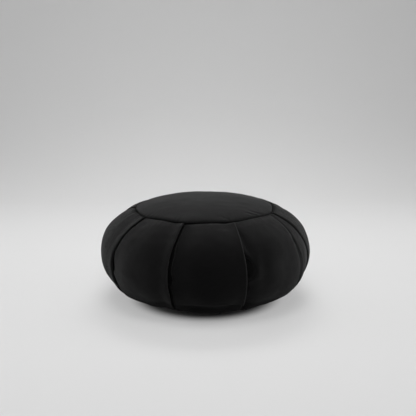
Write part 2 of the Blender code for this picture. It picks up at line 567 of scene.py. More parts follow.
SECTION = (
    SectionPoint(Edge.LEFT_FOLD, 1, (-11.0, -2.4), (-12.0, -6.0)),
    SectionPoint(Edge.LEFT_FOLD, 2, (-6.0, -2.0), (-7.0, -7.4), (-6.0, -7.2)),
    SectionPoint(Edge.LEFT_FOLD, 2, (-2.2, -1.5), (-3.2, -8.0), (-1.0, -7.2), mouth=0.5),
    SectionPoint(Edge.LEFT_FOLD, 2, (-0.2, -1.2), (-1.2, -6.8), (0.8, -5.8), mouth=1.0),
    SectionPoint(Edge.LEFT_FOLD, 2, (1.2, -0.8), (-0.5, -3.8), (3.0, -4.0), mouth=1.0, lip=0.3),
    SectionPoint(Edge.LEFT_FOLD, 3, (2.6, -0.4), (0.4, -0.7), (6.0, -2.2), mouth=1.0, lip=1.0),
    SectionPoint(Edge.LEFT_FOLD, 4, (5.2, -0.2), (3.2, 0.3), (11.0, -0.9), mouth=1.0, lip=1.0),
    SectionPoint(Edge.LEFT_FOLD, 9, (12.5, 0.0), (11.0, 0.1), (20.0, -0.1), mouth=1.0, lip=0.6),
    SectionPoint(Edge.MIDDLE, 6, (0.33, 0.0), soft=(0.36, 0.0)),
    SectionPoint(Edge.MIDDLE, 6, (0.45, 0.0), soft=(0.47, 0.0)),
    SectionPoint(Edge.MIDDLE, 10, (0.56, 0.0), soft=(0.57, 0.0)),
    SectionPoint(Edge.RIGHT_FOLD, 4, (-31.0, 0.0), hollow=0.35),
    SectionPoint(Edge.RIGHT_FOLD, 4, (-21.0, 0.0), hollow=0.85),
    SectionPoint(Edge.RIGHT_FOLD, 3, (-14.0, 0.0), hollow=1.0),
    SectionPoint(Edge.RIGHT_FOLD, 3, (-8.5, 0.0), bead=0.25, hollow=0.6),
    SectionPoint(Edge.RIGHT_FOLD, 3, (-4.4, 0.0), bead=0.7, hollow=0.15),
    SectionPoint(Edge.RIGHT_FOLD, 3, (-1.6, 0.0), bead=1.1),
    SectionPoint(Edge.RIGHT_FOLD, 3, (0.2, 0.0), bead=1.35),
    SectionPoint(Edge.RIGHT_FOLD, 2, (0.9, -0.3), (1.0, -0.8), bead=0.9),
    SectionPoint(Edge.RIGHT_FOLD, 1, (0.4, -0.8), (0.4, -2.6)),
    SectionPoint(Edge.RIGHT_FOLD, 1, (-1.6, -0.9), (-1.6, -3.2)),
    SectionPoint(Edge.RIGHT_FOLD, 1, (-7.0, -1.4), (-7.4, -3.8)),
)


def threaded(guides: np.ndarray, cuts: list[int]) -> np.ndarray:
    """Lays a smooth closed curve along guide points.

    Args:
        guides: The guide points, on the second axis. The last three repeat the first a turn on.
        cuts: How many points the curve has for each guide point but the last three.

    Returns:
        The curve's points on the second axis.
    """
    stretches = []
    for index, count in enumerate(cuts):
        for t in np.arange(count) / count:
            weights = ((1 - t) ** 3, 3 * t**3 - 6 * t * t + 4, -3 * t**3 + 3 * t * t + 3 * t + 1, t**3)
            stretches.append(sum(w * guides[:, index + step] for step, w in enumerate(weights)) / 6)
    return np.stack(stretches, axis=1)


def new_mesh(name: str, points: np.ndarray, faces: list[tuple[int, ...]]) -> bpy.types.Object:
    """Makes a smooth mesh object in the scene.

    Args:
        name: The piece's name.
        points: Its points, one a row.
        faces: Its faces, as rows of point numbers.

    Returns:
        The new object.
    """
    mesh = bpy.data.meshes.new(name)
    mesh.from_pydata(points.tolist(), [], faces)
    mesh.validate()
    mesh.shade_smooth()
    piece = bpy.data.objects.new(name, mesh)
    bpy.context.scene.collection.objects.link(piece)
    return piece


def stamp(piece: bpy.types.Object, name: str, values: np.ndarray) -> None:
    """Writes values on a mesh's points, for its material to read.

    Args:
        piece: The piece with the mesh.
        name: The name that the material reads them by.
        values: A number for each point, or a row of three.
    """
    kind, field = ("FLOAT_VECTOR", "vector") if values.ndim == 2 else ("FLOAT", "value")
    layer = piece.data.attributes.new(name, kind, "POINT")
    layer.data.foreach_set(field, values.astype(np.float32).ravel())


def walked(points: np.ndarray, axis: int) -> np.ndarray:
    """How far the points of a grid lie from its first ones, step by step along an axis."""
    steps = np.diff(points, axis=axis, prepend=np.take(points, [0], axis=axis))
    return np.cumsum(np.linalg.norm(steps, axis=-1), axis=axis)


@dataclass(frozen=True)
class Lie:
    """Where the points of the side's skin lie, with a row of the mesh on the first axis.

    Attributes:
        angle: Angles round the cushion.
        panel: The panel that each column belongs to.
        share: Shares across that panel, which may pass 0 and 1 under the folds.
        down: Shares of the way down.
        from_seam: Distances from the nearer seam.
    """

    angle: np.ndarray
    panel: np.ndarray
    share: np.ndarray
    down: np.ndarray
    from_seam: np.ndarray


@dataclass(frozen=True)
class RubHighlightAndShade:
    """Where the side's cloth has pale fold edges, and where it has painted shade.

    The pale edges are partly real rubbing, partly a painted highlight where a rolled edge catches
    the light. Painted shade lies low down and at the foot, beside some mouths, in front round an
    angle in degrees and a share of the way down, and along the seams. Under it the cloth is darker
    and loses its sheen.
    """

    panel_width: float = 120.0 * MM
    rub_highlight_width: float = 1.0 * MM
    seam_zone: float = 6.0 * MM
    # Painted shade: low down, at the foot, beside mouths, in front and along the seams.
    low_shade: float = 0.72
    low_shade_between: tuple[float, float] = (0.45, 0.85)
    foot_shade_between: tuple[float, float] = (0.72, 0.82)
    mouth_shade_to: tuple[float, float] = (7.0 * MM, 32.0 * MM)
    front_shade: float = 0.6
    front_shade_at: tuple[float, float] = (3.0, 32.0)
    front_shade_down: tuple[float, float] = (0.55, 0.3)
    sewn: float = 0.75

    def rub_and_highlight(self, lie: Lie) -> np.ndarray:
        """How pale the fold edges are painted: real rubbing and a painted highlight.

        Args:
            lie: Where the points lie.

        Returns:
            A number from 0 to 1 for each point.
        """
        # Fold edges painted pale: partly real rubbing, partly a painted highlight.
        pale = np.array([pleat.rub_and_highlight for pleat in (*PLEATS[1:], PLEATS[0])])[lie.panel]
        on_edge = bell((lie.share - 1.0) * self.panel_width, self.rub_highlight_width)
        return pale * on_edge * smooth(0.0, self.seam_zone, lie.from_seam)

    def painted_shade(self, lie: Lie) -> np.ndarray:
        """How much painted shade darkens the cloth.

        Args:
            lie: Where the points lie.

        Returns:
            A number from 0 to 1 for each point.
        """
        # Painted shade, where less light falls: darker cloth without sheen.
        low = self.low_shade * smooth(*self.low_shade_between, lie.down)
        beside = 1.0 - smooth(*self.mouth_shade_to, lie.share * self.panel_width)
        mouth_shade = np.array([pleat.mouth_shade for pleat in PLEATS])[lie.panel] * beside
        (middle, half), (level, tall) = np.radians(self.front_shade_at), self.front_shade_down
        across, below = signed(lie.angle - middle), lie.down - level
        front_shade = self.front_shade * bell(across, half) * bell(below, tall)
        front_and_seam_shade = np.maximum(front_shade, self.sewn * bell(lie.from_seam, self.seam_zone))
        unshaded = 1.0 - np.maximum(low, smooth(*self.foot_shade_between, lie.down))
        return 1.0 - unshaded * (1.0 - mouth_shade) * (1.0 - front_and_seam_shade)


@dataclass(frozen=True)
class PleatedSide:
    """The filled body under the side strip, with its nine knife pleats.

    Near a seam the folds run out into evenly stepped guide points, the section's heights shrink to
    a flattest share and the cloth lies taut. A mouth of full width gives its lip its full form, and
    the widest goes a little past that. The rows near the seams, that step, the full mouth and the
    bed, which is how far in and how deep the filling lies under the rounds, are in millimetres.
    """

    node: str = "pleated_side"
    swell: float = 4.8 * MM
    swell_down: float = 0.6
    swell_across: float = 0.75
    rows: int = 112
    seam_rows: tuple[float, ...] = (0.0, 0.5, 1.0, 1.6, 2.3, 3.2, 4.3, 5.7, 7.4)
    unfolds_within: float = 1.4 * MM
    unfolded_step: float = 0.45
    flat_within: float = 9.0 * MM
    flattest: float = 0.5
    taut_within: float = 20.0 * MM
    full_mouth: float = 6.0
    widest: float = 1.3
    bead_ends: tuple[float, float] = (0.78, 0.97)
    lowest: float = 1.5 * MM
    grain_shift: float = 170.0 * MM
    bed: tuple[tuple[float, float], ...] = ((1.2, 5.6), (5.0, 3.4), (30.0, 2.6), (75.0, 2.6))
    # Pale fold edges, partly a painted highlight, and painted shade on the side.
    rub_highlight_and_shade: RubHighlightAndShade = RubHighlightAndShade()
    lumps: Undulation = Undulation(seed=11, wavelength=62 * MM, height=0.55 * MM)
    ripple: Undulation = Undulation(seed=5, wavelength=19 * MM, height=0.10 * MM)
    top_puckers: Puckers = Puckers(seed=21)
    base_puckers: Puckers = Puckers(seed=22)
    creases: tuple[Crease, ...] = (
        Crease((58.0, 0.16), (56.6, 0.26), (56.0, 0.36), 0.6, 2.6),
        Crease((61.2, 0.02), (60.0, 0.18), (57.8, 0.42), -1.8, 2.2),
        Crease((58.2, 0.26), (60.2, 0.48), (66.0, 0.76), -5.4, 2.1),
        Crease((62.6, 0.62), (61.0, 0.77), (46.0, 0.90), -6.0, 3.4),
        Crease((21.3, 0.06), (22.8, 0.26), (26.2, 0.43), -3.4, 5.6, panel=3),
        Crease((21.1, 0.29), (24.0, 0.385), (25.6, 0.58), 1.2, 3.2, panel=3),
        Crease((31.0, 0.27), (30.8, 0.44), (32.4, 0.70), -1.9, 6.5),
        Crease((26.0, 0.32), (26.6, 0.45), (27.6, 0.64), 1.2, 4.5, panel=3),
        Crease((23.0, 0.54), (24.0, 0.72), (25.4, 0.92), -3.6, 7.5, panel=3),
        Crease((6.0, 0.05), (11.0, 0.09), (16.0, 0.06), -0.25, 3.0),
        Crease((-20.0, 0.010), (-6.0, 0.012), (9.0, 0.010), -3.8, 2.4),
        Crease((-51.0, 0.010), (-36.0, 0.012), (-18.0, 0.010), -1.8, 2.4),
        Crease((4.0, 0.010), (14.0, 0.012), (24.0, 0.010), -2.2, 2.4),
    )
    bulges: tuple[Bulge, ...] = (
        Bulge(92.0, 0.39, 40.0, 24.0, -2.0),
        Bulge(95.0, 0.12, 40.0, 16.0, 0.9),
        Bulge(31.0, 0.36, 30.0, 32.0, 3.2),
        Bulge(67.0, 0.40, 14.0, 60.0, 1.4),
        Bulge(82.0, 0.58, 42.0, 44.0, 2.6),
        Bulge(59.0, 0.79, 32.0, 26.0, 4.1),
        Bulge(30.0, 0.93, 38.0, 20.0, 2.4),
        Bulge(-80.0, 0.60, 40.0, 34.0, 2.4),
        Bulge(-60.0, 0.81, 32.0, 22.0, 4.8),
        Bulge(-33.0, 0.93, 28.0, 16.0, 1.3),
        Bulge(-100.0, 0.05, 36.0, 16.0, -0.8),
        Bulge(2.0, 0.94, 75.0, 16.0, 2.2),
    )
    overhang: Overhang = Overhang(-21.5, 26.5, 0.742, 0.10, 0.16, 1.0, 3.4)

    def distances(self) -> np.ndarray:
        """Spaces the mesh's rows, closely at both seams.

        Returns:
            How far each row lies from the top seam, along the outline.
        """
        near = np.array(self.seam_rows) * MM
        first = 2 * near[-1] - near[-2]
        even = np.linspace(first, BODY.span - first, self.rows)
        return np.concatenate([near, even, BODY.span - near[::-1]])

    def fold_angles(self, down: np.ndarray) -> np.ndarray:
        """The folds' angles in radians, one row each and the first again a turn on."""
        folds = np.radians([through(pleat.fold, down) for pleat in PLEATS])
        return np.concatenate([folds, folds[:1] + FULL_TURN])

    def guides(self, down: np.ndarray, from_seam: np.ndarray) -> tuple[np.ndarray, np.ndarray]:
        """Places the guide points of every row.

        Args:
            down: The rows' shares of the way down.
            from_seam: Their distances from the nearer seam.

        Returns:
            The guide points' angles and heights, a row of the mesh on the first axis.
        """
        folds = self.fold_angles(down)
        ring = BODY.ring(BODY.top_seam + down * BODY.span)
        flat = self.flattest + (1 - self.flattest) * smooth(0.0, self.flat_within, from_seam)
        folded = smooth(0.0, self.unfolds_within, from_seam)
        beads = 1 - smooth(*self.bead_ends, down)
        angles, heights = [], []
        for index, pleat in enumerate(PLEATS):
            after = PLEATS[(index + 1) % len(PLEATS)]
            left, right = folds[index], folds[index + 1]
            for order, spot in enumerate(SECTION):
                beside = after if spot.edge is Edge.RIGHT_FOLD else pleat
                mouth = beside.open_at(down)
                opening = np.clip(mouth / self.full_mouth, 0.0, self.widest)
                lip = spot.opened(beside.crisp)
                across = spot.shut[0] + (lip[0] + spot.mouth * mouth - spot.shut[0]) * opening
                height = spot.shut[1] + (lip[1] - spot.shut[1]) * opening + spot.lip * beside.lip
                height = height + spot.bead * beside.bead * beads - spot.hollow * beside.hollow
                if spot.edge is Edge.MIDDLE:
                    angle = left + across * (right - left)
                else:
                    fold, first = (left, 0) if spot.edge is Edge.LEFT_FOLD else (right, len(SECTION))
                    plain = self.unfolded_step * (order - first)
                    angle = fold + (plain + (across - plain) * folded) * MM / ring
                angles.append(angle)
                heights.append(height * MM * flat)
        turn_on = [angle + FULL_TURN for angle in angles[:3]]
        return np.stack([*angles, *turn_on], axis=1), np.stack([*heights, *heights[:3]], axis=1)

    def build(self) -> bpy.types.Object:
        """Makes the side's closed mesh.

        Returns:
            The new piece.
        """
        gaps = self.distances()
        down, from_seam = gaps / BODY.span, np.minimum(gaps, BODY.span - gaps)
        cuts = [spot.cuts for spot in SECTION] * len(PLEATS)
        angle, height = (threaded(guides, cuts) for guides in self.guides(down, from_seam))
        share, panel = self.shares(angle, down)
        gaps, down, from_seam = gaps[:, None], down[:, None], from_seam[:, None]
        lie = Lie(angle, panel, share, down, from_seam)
        along = BODY.top_seam + down * BODY.span + VALLEY.corner(share) * (1 - 2 * down)
        along = along + VALLEY.off_middle(angle) * (1 - down) ** 2
        height += self.swell * bow(down, self.swell_down) * bow(share, self.swell_across)
        height -= VALLEY.dip(from_seam)
        skin = BODY.place(along, angle, height)
        loose = smooth(0.0, self.taut_within, from_seam)
        height += loose * (self.lumps.at(skin) + self.ripple.at(skin))
        height += self.top_puckers.at(angle, gaps) + self.base_puckers.at(angle, BODY.span - gaps)
        height += self.creased(lie, along) + self.overhang.at(angle, down)
        height += sum(bulge.at(angle, down) for bulge in self.bulges)
        skin = BODY.place(along, angle, height)
        skin[..., 2] = np.maximum(skin[..., 2], self.lowest)
        piece = self.closed(skin, angle[0], angle[-1])
        self.mark(piece, skin, lie)
        return piece

    def shares(self, angle: np.ndarray, down: np.ndarray) -> tuple[np.ndarray, np.ndarray]:
        """Where each point lies across its panel.

        Args:
            angle: The points' angles, a row of the mesh on the first axis.
            down: The rows' shares of the way down.

        Returns:
            The shares across, which may pass 0 and 1 under the folds, and the panels' numbers.
        """
        folds = self.fold_angles(down)
        columns = angle.shape[1] // len(PLEATS)
        panel = np.arange(angle.shape[1]) // columns
        left, right = folds[panel].T, folds[panel + 1].T
        return (angle - left) / (right - left), panel

    def creased(self, lie: Lie, along: np.ndarray) -> np.ndarray:
        """Reads the creases, with the skin laid out flat by the radius at the waist.

        Args:
            lie: Where the points lie.
            along: How far they lie along the outline.

        Returns:
            The creases' heights together.
        """
        flat = np.stack([signed(lie.angle) * BODY.radius, along], axis=-1)
        heights = np.zeros(along.shape)
        for crease in self.creases:
            line = crease.line()
            across, way = np.radians(line[:, 0]) * BODY.radius, BODY.top_seam + line[:, 1] * BODY.span
            made = crease.over(flat, np.stack([across, way], axis=-1))
            heights += made if crease.panel is None else made * (lie.panel == crease.panel)
        return heights

    def closed(self, skin: np.ndarray, top: np.ndarray, base: np.ndarray) -> bpy.types.Object:
        """Closes the skin over the filling, under both rounds.

        Args:
            skin: The skin's points, a row of the mesh on the first axis.
            top: The angles of the skin's first row.
            base: The angles of its last row.

        Returns:
            The closed piece.
        """
        beds = []
        for seam, angle, way in ((BODY.top_seam, top, -1), (BODY.base_seam, base, 1)):
            bed = [
                BODY.place(np.full_like(angle, seam + way * inwards * MM), angle, -depth * MM)
                for inwards, depth in self.bed[::way]
            ]
            beds.append(np.stack(bed))
        rows = np.concatenate([beds[0], skin, beds[1]])
        count, columns = rows.shape[:2]
        under = -self.bed[-1][1] * MM
        tips = [BODY.place(np.array(along), np.array(0.0), under) for along in (0.0, BODY.table[0, -1])]
        grid = np.arange(count * columns).reshape(count, columns)
        after = np.roll(grid, -1, axis=1)
        quads = np.stack([grid[:-1], grid[1:], after[1:], after[:-1]], axis=-1).reshape(-1, 4)
        crown, foot = count * columns, count * columns + 1
        fans = [(crown, int(one), int(other)) for one, other in zip(grid[0], after[0])]
        fans += [(foot, int(other), int(one)) for one, other in zip(grid[-1], after[-1])]
        points = np.concatenate([rows.reshape(-1, 3), np.stack(tips)])
        return new_mesh(self.node + "_cloth", points, [*map(tuple, quads.tolist()), *fans])

    def mark(self, piece: bpy.types.Object, skin: np.ndarray, lie: Lie) -> None:
        """Writes the cloth's grain, its pale fold edges, partly painted highlight, and its painted
        shade on the mesh.

        Args:
            piece: The closed piece.
            skin: The skin's points.
            lie: Where they lie.
        """
        weft, warp = walked(skin, 1), walked(skin, 0)
        columns = skin.shape[1] // len(PLEATS)
        middles = lie.panel * columns + columns // 2
        weft = weft - weft[:, middles] + lie.panel * self.grain_shift
        # Pale fold edges, partly a painted highlight, and painted shade.
        marks = (
            ("cloth_grain", np.stack([weft, warp, np.zeros_like(warp)], axis=-1), 0.0),
            ("rub_and_highlight", self.rub_highlight_and_shade.rub_and_highlight(lie), 0.0),
            ("painted_shade", self.rub_highlight_and_shade.painted_shade(lie), 1.0),
        )
        bed = len(self.bed) * skin.shape[1]
        for name, values, underneath in marks:
            values = values.reshape(-1, *values.shape[2:])
            whole = np.full((len(piece.data.vertices), *values.shape[1:]), underneath)
            whole[:bed] = 0.0
            whole[bed : bed + len(values)] = values
            stamp(piece, name, whole)


@dataclass(frozen=True)
class RoundPanel:
    """A round of cloth over the filling, with its edge turned down into the seam.

    The mesh has close rings at the edge, in millimetres from the seam, and even ones from there on
    to the last, so many spacings out. Where columns are crowded, every second one is dropped. The
    top has settled by a depth, a way back from its middle, over a width. The edge is painted a
    little pale, a way in from the seam, over a width: partly real rubbing, partly a painted
    highlight. The bottom round is all painted shade.
    """

    node: str
    seam: Seam
    puckers: Puckers
    creases: tuple[Crease, ...] = ()
    lumps: Undulation = Undulation(seed=31, wavelength=70 * MM, height=0.25 * MM)
    ripple: Undulation = Undulation(seed=32, wavelength=22 * MM, height=0.08 * MM)
    columns: int = 432
    spacing: float = 1.7 * MM
    crowded: float = 0.55
    last: float = 1.5
    edge_rows: tuple[float, ...] = (0.5, 0.9, 1.4, 2.0, 2.8, 3.8, 5.1)
    edge_short: float = 0.9 * MM
    cloth: float = 1.4 * MM
    taut_within: float = 18.0 * MM
    settled: tuple[float, float, float] = (1.5 * MM, 50.0 * MM, 55.0 * MM)
    edge_rub_highlight: tuple[float, float, float] = (0.06, 3.0 * MM, 2.5 * MM)

    def seam_reach(self, angle: np.ndarray) -> np.ndarray:
        """Finds the seam, with its corners at the folds.

        Args:
            angle: Angles round the cushion.

        Returns:
            How far the seam lies from the round's middle there, along the outline.
        """
        station = 0.0 if self.seam is Seam.TOP else 1.0
        folds = PleatedSide().fold_angles(np.array([station]))[:, 0]
        turned = (angle - folds[0]) % FULL_TURN + folds[0]
        panel = np.clip(np.searchsorted(folds, turned, side="right") - 1, 0, len(PLEATS) - 1)
        share = (turned - folds[panel]) / (folds[panel + 1] - folds[panel])
        lean = VALLEY.off_middle(angle) if self.seam is Seam.TOP else 0.0
        return BODY.reach(self.seam) + VALLEY.corner(share) + lean

    def rings(self) -> list[tuple[float, int]]:
        """Spaces the mesh's rings.

        Returns:
            Each ring's distance in from the seam and its number of columns.
        """
        rings = [(gap * MM, self.columns) for gap in self.edge_rows]
        reach = BODY.reach(self.seam)
        inwards, columns = rings[-1][0] + self.spacing, self.columns
        while reach - inwards > self.last * self.spacing:
            if FULL_TURN * (reach - inwards) / columns < self.crowded * self.spacing:
                columns //= 2
            rings.append((inwards, columns))
            inwards += self.spacing
        return rings

    def build(self) -> bpy.types.Object:
        """Makes the round's mesh, with its thickness as a modifier.

        Returns:
            The new piece.
        """
        gaps, counts = zip(*self.rings())
        reach, on_top = BODY.reach(self.seam), self.seam is Seam.TOP
        angle = np.concatenate([*(np.arange(count) * FULL_TURN / count for count in counts), [0.0]])
        inwards = np.append(np.repeat(gaps, counts), reach)
        drawn_out = (self.seam_reach(angle) - reach) * (1 - inwards / reach)
        from_middle = np.where(inwards >= reach, 0.0, reach - inwards + drawn_out)
        along = from_middle if on_top else BODY.table[0, -1] - from_middle
        flat = np.stack([from_middle * np.sin(angle), -from_middle * np.cos(angle)], axis=-1)
        height = -VALLEY.dip(inwards + self.edge_short)
        if on_top:
            skin = BODY.place(along, angle, height)
            depth, back, wide = self.settled
            lumpy = self.lumps.at(skin) + self.ripple.at(skin)
            lumpy -= depth * bell(np.hypot(flat[:, 0], flat[:, 1] - back), wide)
            height += smooth(0.0, self.taut_within, inwards) * lumpy
        height += self.puckers.at(angle, inwards)
        for crease in self.creases:
            turn, out = np.radians(crease.line()[:, 0]), crease.line()[:, 1] * reach
            height += crease.over(flat, np.stack([out * np.sin(turn), -out * np.cos(turn)], axis=-1))
        points = BODY.place(along, angle, height)
        points[:, 2] = np.maximum(points[:, 2], 0.0)
        piece = new_mesh(self.node + "_cloth", points, self.faces(counts))
        if not on_top:
            piece.data.flip_normals()
        # The edge painted a little pale: partly real rubbing, partly a painted highlight.
        pale, inside, wide = self.edge_rub_highlight
        stamp(piece, "cloth_grain", np.pad(flat, ((0, 0), (0, 1))))
        stamp(piece, "rub_and_highlight", pale * bell(inwards - inside, wide))
        # Painted shade: all over the bottom round, none on the top.
        stamp(piece, "painted_shade", np.full(len(flat), 0.0 if on_top else 1.0))
        shell = piece.modifiers.new("cloth", "SOLIDIFY")
        shell.thickness = self.cloth
        shell.offset = -1.0
        return piece

    def faces(self, counts: tuple[int, ...]) -> list[tuple[int, ...]]:
        """Joins the rings and the middle point.

        Args:
            counts: Each ring's number of columns, from the seam inwards.

        Returns:
            The faces, looking up.
        """
        starts = np.concatenate([[0], np.cumsum(counts)])
        faces: list[tuple[int, ...]] = []
        for ring, (outer, inner) in enumerate(zip(counts, counts[1:])):
            here, there = int(starts[ring]), int(starts[ring + 1])
            for column in range(inner):
                after = (column + 1) % inner
                if outer == inner:
                    faces.append((here + column, here + after, there + after, there + column))
                    continue
                first, second, third = 2 * column, 2 * column + 1, (2 * column + 2) % outer
                faces.append((here + first, here + second, there + column))
                faces.append((here + second, there + after, there + column))
                faces.append((here + second, here + third, there + after))
        last, middle, around = int(starts[-2]), int(starts[-1]), counts[-1]
        faces += [(last + column, last + (column + 1) % around, middle) for column in range(around)]
        return faces


class Value:
    """A number that changes over a surface, so that shader maths is written as Python."""

    def __init__(self, bench: "Bench", socket: bpy.types.NodeSocket) -> None:
        """Keeps the socket that the number comes out of."""
        self.bench = bench
        self.socket = socket

    def maths(self, operation: str, *others: "Value | float") -> "Value":
        """Adds a Math node with this value first."""
        return self.bench.maths(operation, self, *others)

    def __add__(self, other: "Value | float") -> "Value":
        """This value and another."""
        return self.maths("ADD", other)

    def __mul__(self, other: "Value | float") -> "Value":
        """This value times another."""
        return self.maths("MULTIPLY", other)

    def __sub__(self, other: "Value | float") -> "Value":
        """This value less another."""
        return self.maths("SUBTRACT", other)

    def __rsub__(self, other: float) -> "Value":
        """A number less this value."""
        return self.bench.maths("SUBTRACT", other, self)

    def __abs__(self) -> "Value":
        """This value without its sign."""
        return self.maths("ABSOLUTE")


class Bench:
    """A new material and its nodes."""

    def __init__(self, name: str) -> None:
        """Makes the material and empties its node tree.

        Args:
            name: The material's name.
        """
        self.material = bpy.data.materials.new(name)
        self.material.use_nodes = True
        self.tree = self.material.node_tree
        self.tree.nodes.clear()

    def node(
        self,
        kind: str,
        settings: dict[str, object] | None = None,
        sockets: dict[str | int, object] | None = None,
    ) -> bpy.types.Node:
        """Adds any node.

        Args:
            kind: The node's type.
            settings: Its own properties, which are set first.
            sockets: What its inputs hold: numbers, colours, or a Value or socket to link.

        Returns:
            The new node.
        """
        made = self.tree.nodes.new(kind)
        for name, setting in (settings or {}).items():
            setattr(made, name, setting)
        for name, held in (sockets or {}).items():
            self.feed(made.inputs[name], held)
        return made

    def feed(self, socket: bpy.types.NodeSocket, held: object) -> None:
        """Fills an input.

        Args:
            socket: The input.
            held: A Value or a socket, which is linked, or a plain value, which is set.
        """
        if isinstance(held, Value):
            held = held.socket
        if isinstance(held, bpy.types.NodeSocket):
            self.tree.links.new(held, socket)
        else:
            socket.default_value = held

    def finish(self, shader: bpy.types.NodeSocket) -> bpy.types.Material:
        """The material, with a shader as its surface."""
        self.node("ShaderNodeOutputMaterial", {}, {"Surface": shader})
        return self.material

    def maths(self, operation: str, *terms: Value | float) -> Value:
        """Adds a Math node on values and numbers."""
        made = self.node("ShaderNodeMath", {"operation": operation}, dict(enumerate(terms)))
        return Value(self, made.outputs[0])

    def stamped(self, name: str, output: str) -> bpy.types.NodeSocket:
        """What was stamped on the mesh by a name."""
        return self.node("ShaderNodeAttribute", {"attribute_name": name}).outputs[output]

    def noise(self, where: object, scale: float, detail: float = 2.0, rough: float = 0.55) -> Value:
        """Soft noise, from 0 to 1, read at a vector."""
        sockets = {"Vector": where, "Scale": scale, "Detail": detail, "Roughness": rough}
        return Value(self, self.node("ShaderNodeTexNoise", {}, sockets).outputs["Fac"])

    def falling(self, value: object, start: float, end: float) -> Value:
        """1 where a value is up to the start, 0 from the end on, and a soft fall between them."""
        sockets = {"Value": value, "From Min": end, "From Max": start}
        made = self.node("ShaderNodeMapRange", {"interpolation_type": "SMOOTHSTEP"}, sockets)
        return Value(self, made.outputs["Result"])

    def stretched(self, where: object, scale: tuple[float, float, float]) -> bpy.types.NodeSocket:
        """A vector scaled by a different amount along each axis."""
        made = self.node("ShaderNodeVectorMath", {"operation": "MULTIPLY"}, {0: where, 1: scale})
        return made.outputs["Vector"]

    def between(self, share: Value, low: object, high: object) -> bpy.types.NodeSocket:
        """A colour between two others, which are plain colours or sockets."""
        made = self.node("ShaderNodeMix", {"data_type": "RGBA"}, {0: share, 6: low, 7: high})
        return made.outputs[2]


@dataclass(frozen=True)
class BlackCotton:
    """Heavy black cotton in a plain weave, matt, with a short nap.

    It is painted pale along the folds, partly as real rubbing, partly as a painted highlight. Where
    painted shade lies the cloth is darker: the nap's sheen and the specular level are given for
    unshaded cloth and for painted shade, a lit and a shaded copy of one cloth. The shares are how
    much slubs, mottle and weave lighten the cloth and how much painted shade darkens it.
    """

    dark: tuple[float, float, float, float] = (0.0030, 0.0030, 0.0031, 1.0)
    light: tuple[float, float, float, float] = (0.0068, 0.0068, 0.0069, 1.0)
    # The pale of the fold edges: partly real rubbing, partly a painted highlight.
    pale: tuple[float, float, float, float] = (0.021, 0.021, 0.0212, 1.0)
    roughness: float = 0.62
    roughness_play: float = 0.10
    thread: float = 0.62 * MM
    weave_height: float = 0.10 * MM
    slub_height: float = 0.05 * MM
    warp_slubs: tuple[float, float, float] = (1500.0, 55.0, 1.0)
    weft_slubs: tuple[float, float, float] = (60.0, 1400.0, 1.0)
    mottle: float = 26.0
    shares: tuple[float, float, float, float] = (0.55, 0.35, 0.12, 0.5)
    # Each pair is for unshaded cloth and for painted shade, where the sheen is taken away.
    nap: tuple[float, float] = (0.078, 0.0)
    nap_roughness: float = 0.5
    specular: tuple[float, float] = (0.042, 0.013)

    def material(self) -> bpy.types.Material:
        """Builds the material's nodes.

        Returns:
            The material.
        """
        bench = Bench("black_cotton_canvas")
        grain = bench.stamped("cloth_grain", "Vector")
        rub_and_highlight = Value(bench, bench.stamped("rub_and_highlight", "Fac"))
        painted_shade = Value(bench, bench.stamped("painted_shade", "Fac"))
        weave = self.weave(bench, grain)
        warp = bench.noise(bench.stretched(grain, self.warp_slubs), 1.0)
        weft = bench.noise(bench.stretched(grain, self.weft_slubs), 1.0)
        slubs = (warp + weft) * 0.5
        mottle = bench.noise(grain, self.mottle, 3.0)
        by_slubs, by_mottle, by_weave, by_painted_shade = self.shares
        # Painted shade darkens the colour by its share.
        shade = slubs * by_slubs + mottle * by_mottle + weave * by_weave - painted_shade * by_painted_shade
        colour = bench.between(rub_and_highlight, bench.between(shade, self.dark, self.light), self.pale)
        relief = weave * (self.weave_height / MM) + slubs * (self.slub_height / MM)
        bump = bench.node("ShaderNodeBump", {}, {"Strength": 1.0, "Distance": MM, "Height": relief})
        play = self.roughness_play
        surface = {
            "Base Color": colour,
            "Roughness": (slubs + mottle) * play + (self.roughness - play),
            "Normal": bump.outputs["Normal"],
            "Sheen Roughness": self.nap_roughness,
        }
        # A lit and a shaded copy of the cloth, mixed by the painted shade.
        mixed = {0: painted_shade}
        for nap, specular in zip(self.nap, self.specular):
            sockets = {**surface, "Sheen Weight": nap, "Specular IOR Level": specular}
            shader = bench.node("ShaderNodeBsdfPrincipled", {}, sockets)
            mixed[len(mixed)] = shader.outputs["BSDF"]
        return bench.finish(bench.node("ShaderNodeMixShader", {}, mixed).outputs["Shader"])

    def weave(self, bench: Bench, grain: bpy.types.NodeSocket) -> Value:
        """Passes warp and weft over each other in turn.

        Args:
            bench: The material's nodes.
            grain: Where it is read, in metres across and along the cloth.

        Returns:
            The threads' height, from 0 to 1.
        """
        split = bench.node("ShaderNodeSeparateXYZ", {}, {0: grain})
        per_thread = math.pi / self.thread
        warp = (Value(bench, split.outputs["X"]) * per_thread).maths("SINE")
        weft = (Value(bench, split.outputs["Y"]) * per_thread).maths("SINE")
        over = (warp * weft * 2.0 + 0.5).maths("MAXIMUM", 0.0).maths("MINIMUM", 1.0)
        return over * abs(warp) + (1.0 - over) * abs(weft)


@dataclass(frozen=True)
class SoftLight:
    """One soft studio light, narrowed to a beam of so many degrees. No camera sees the lamp itself."""

    name: str
    place: tuple[float, float, float]
    aim: tuple[float, float, float]
    size: tuple[float, float]
    power: float
    beam: float = 180.0

    def build(self) -> None:
        """Adds the light to the scene."""
        lamp = bpy.data.lights.new(self.name, "AREA")
        lamp.shape = "RECTANGLE"
        lamp.size, lamp.size_y = self.size
        lamp.energy = self.power
        lamp.spread = math.radians(self.beam)
        holder = bpy.data.objects.new(self.name, lamp)
        holder.location = self.place
        direction = Vector(self.place) - Vector(self.aim)
        holder.rotation_euler = direction.to_track_quat("Z", "Y").to_euler()
        holder.visible_camera = False
        bpy.context.scene.collection.objects.link(holder)


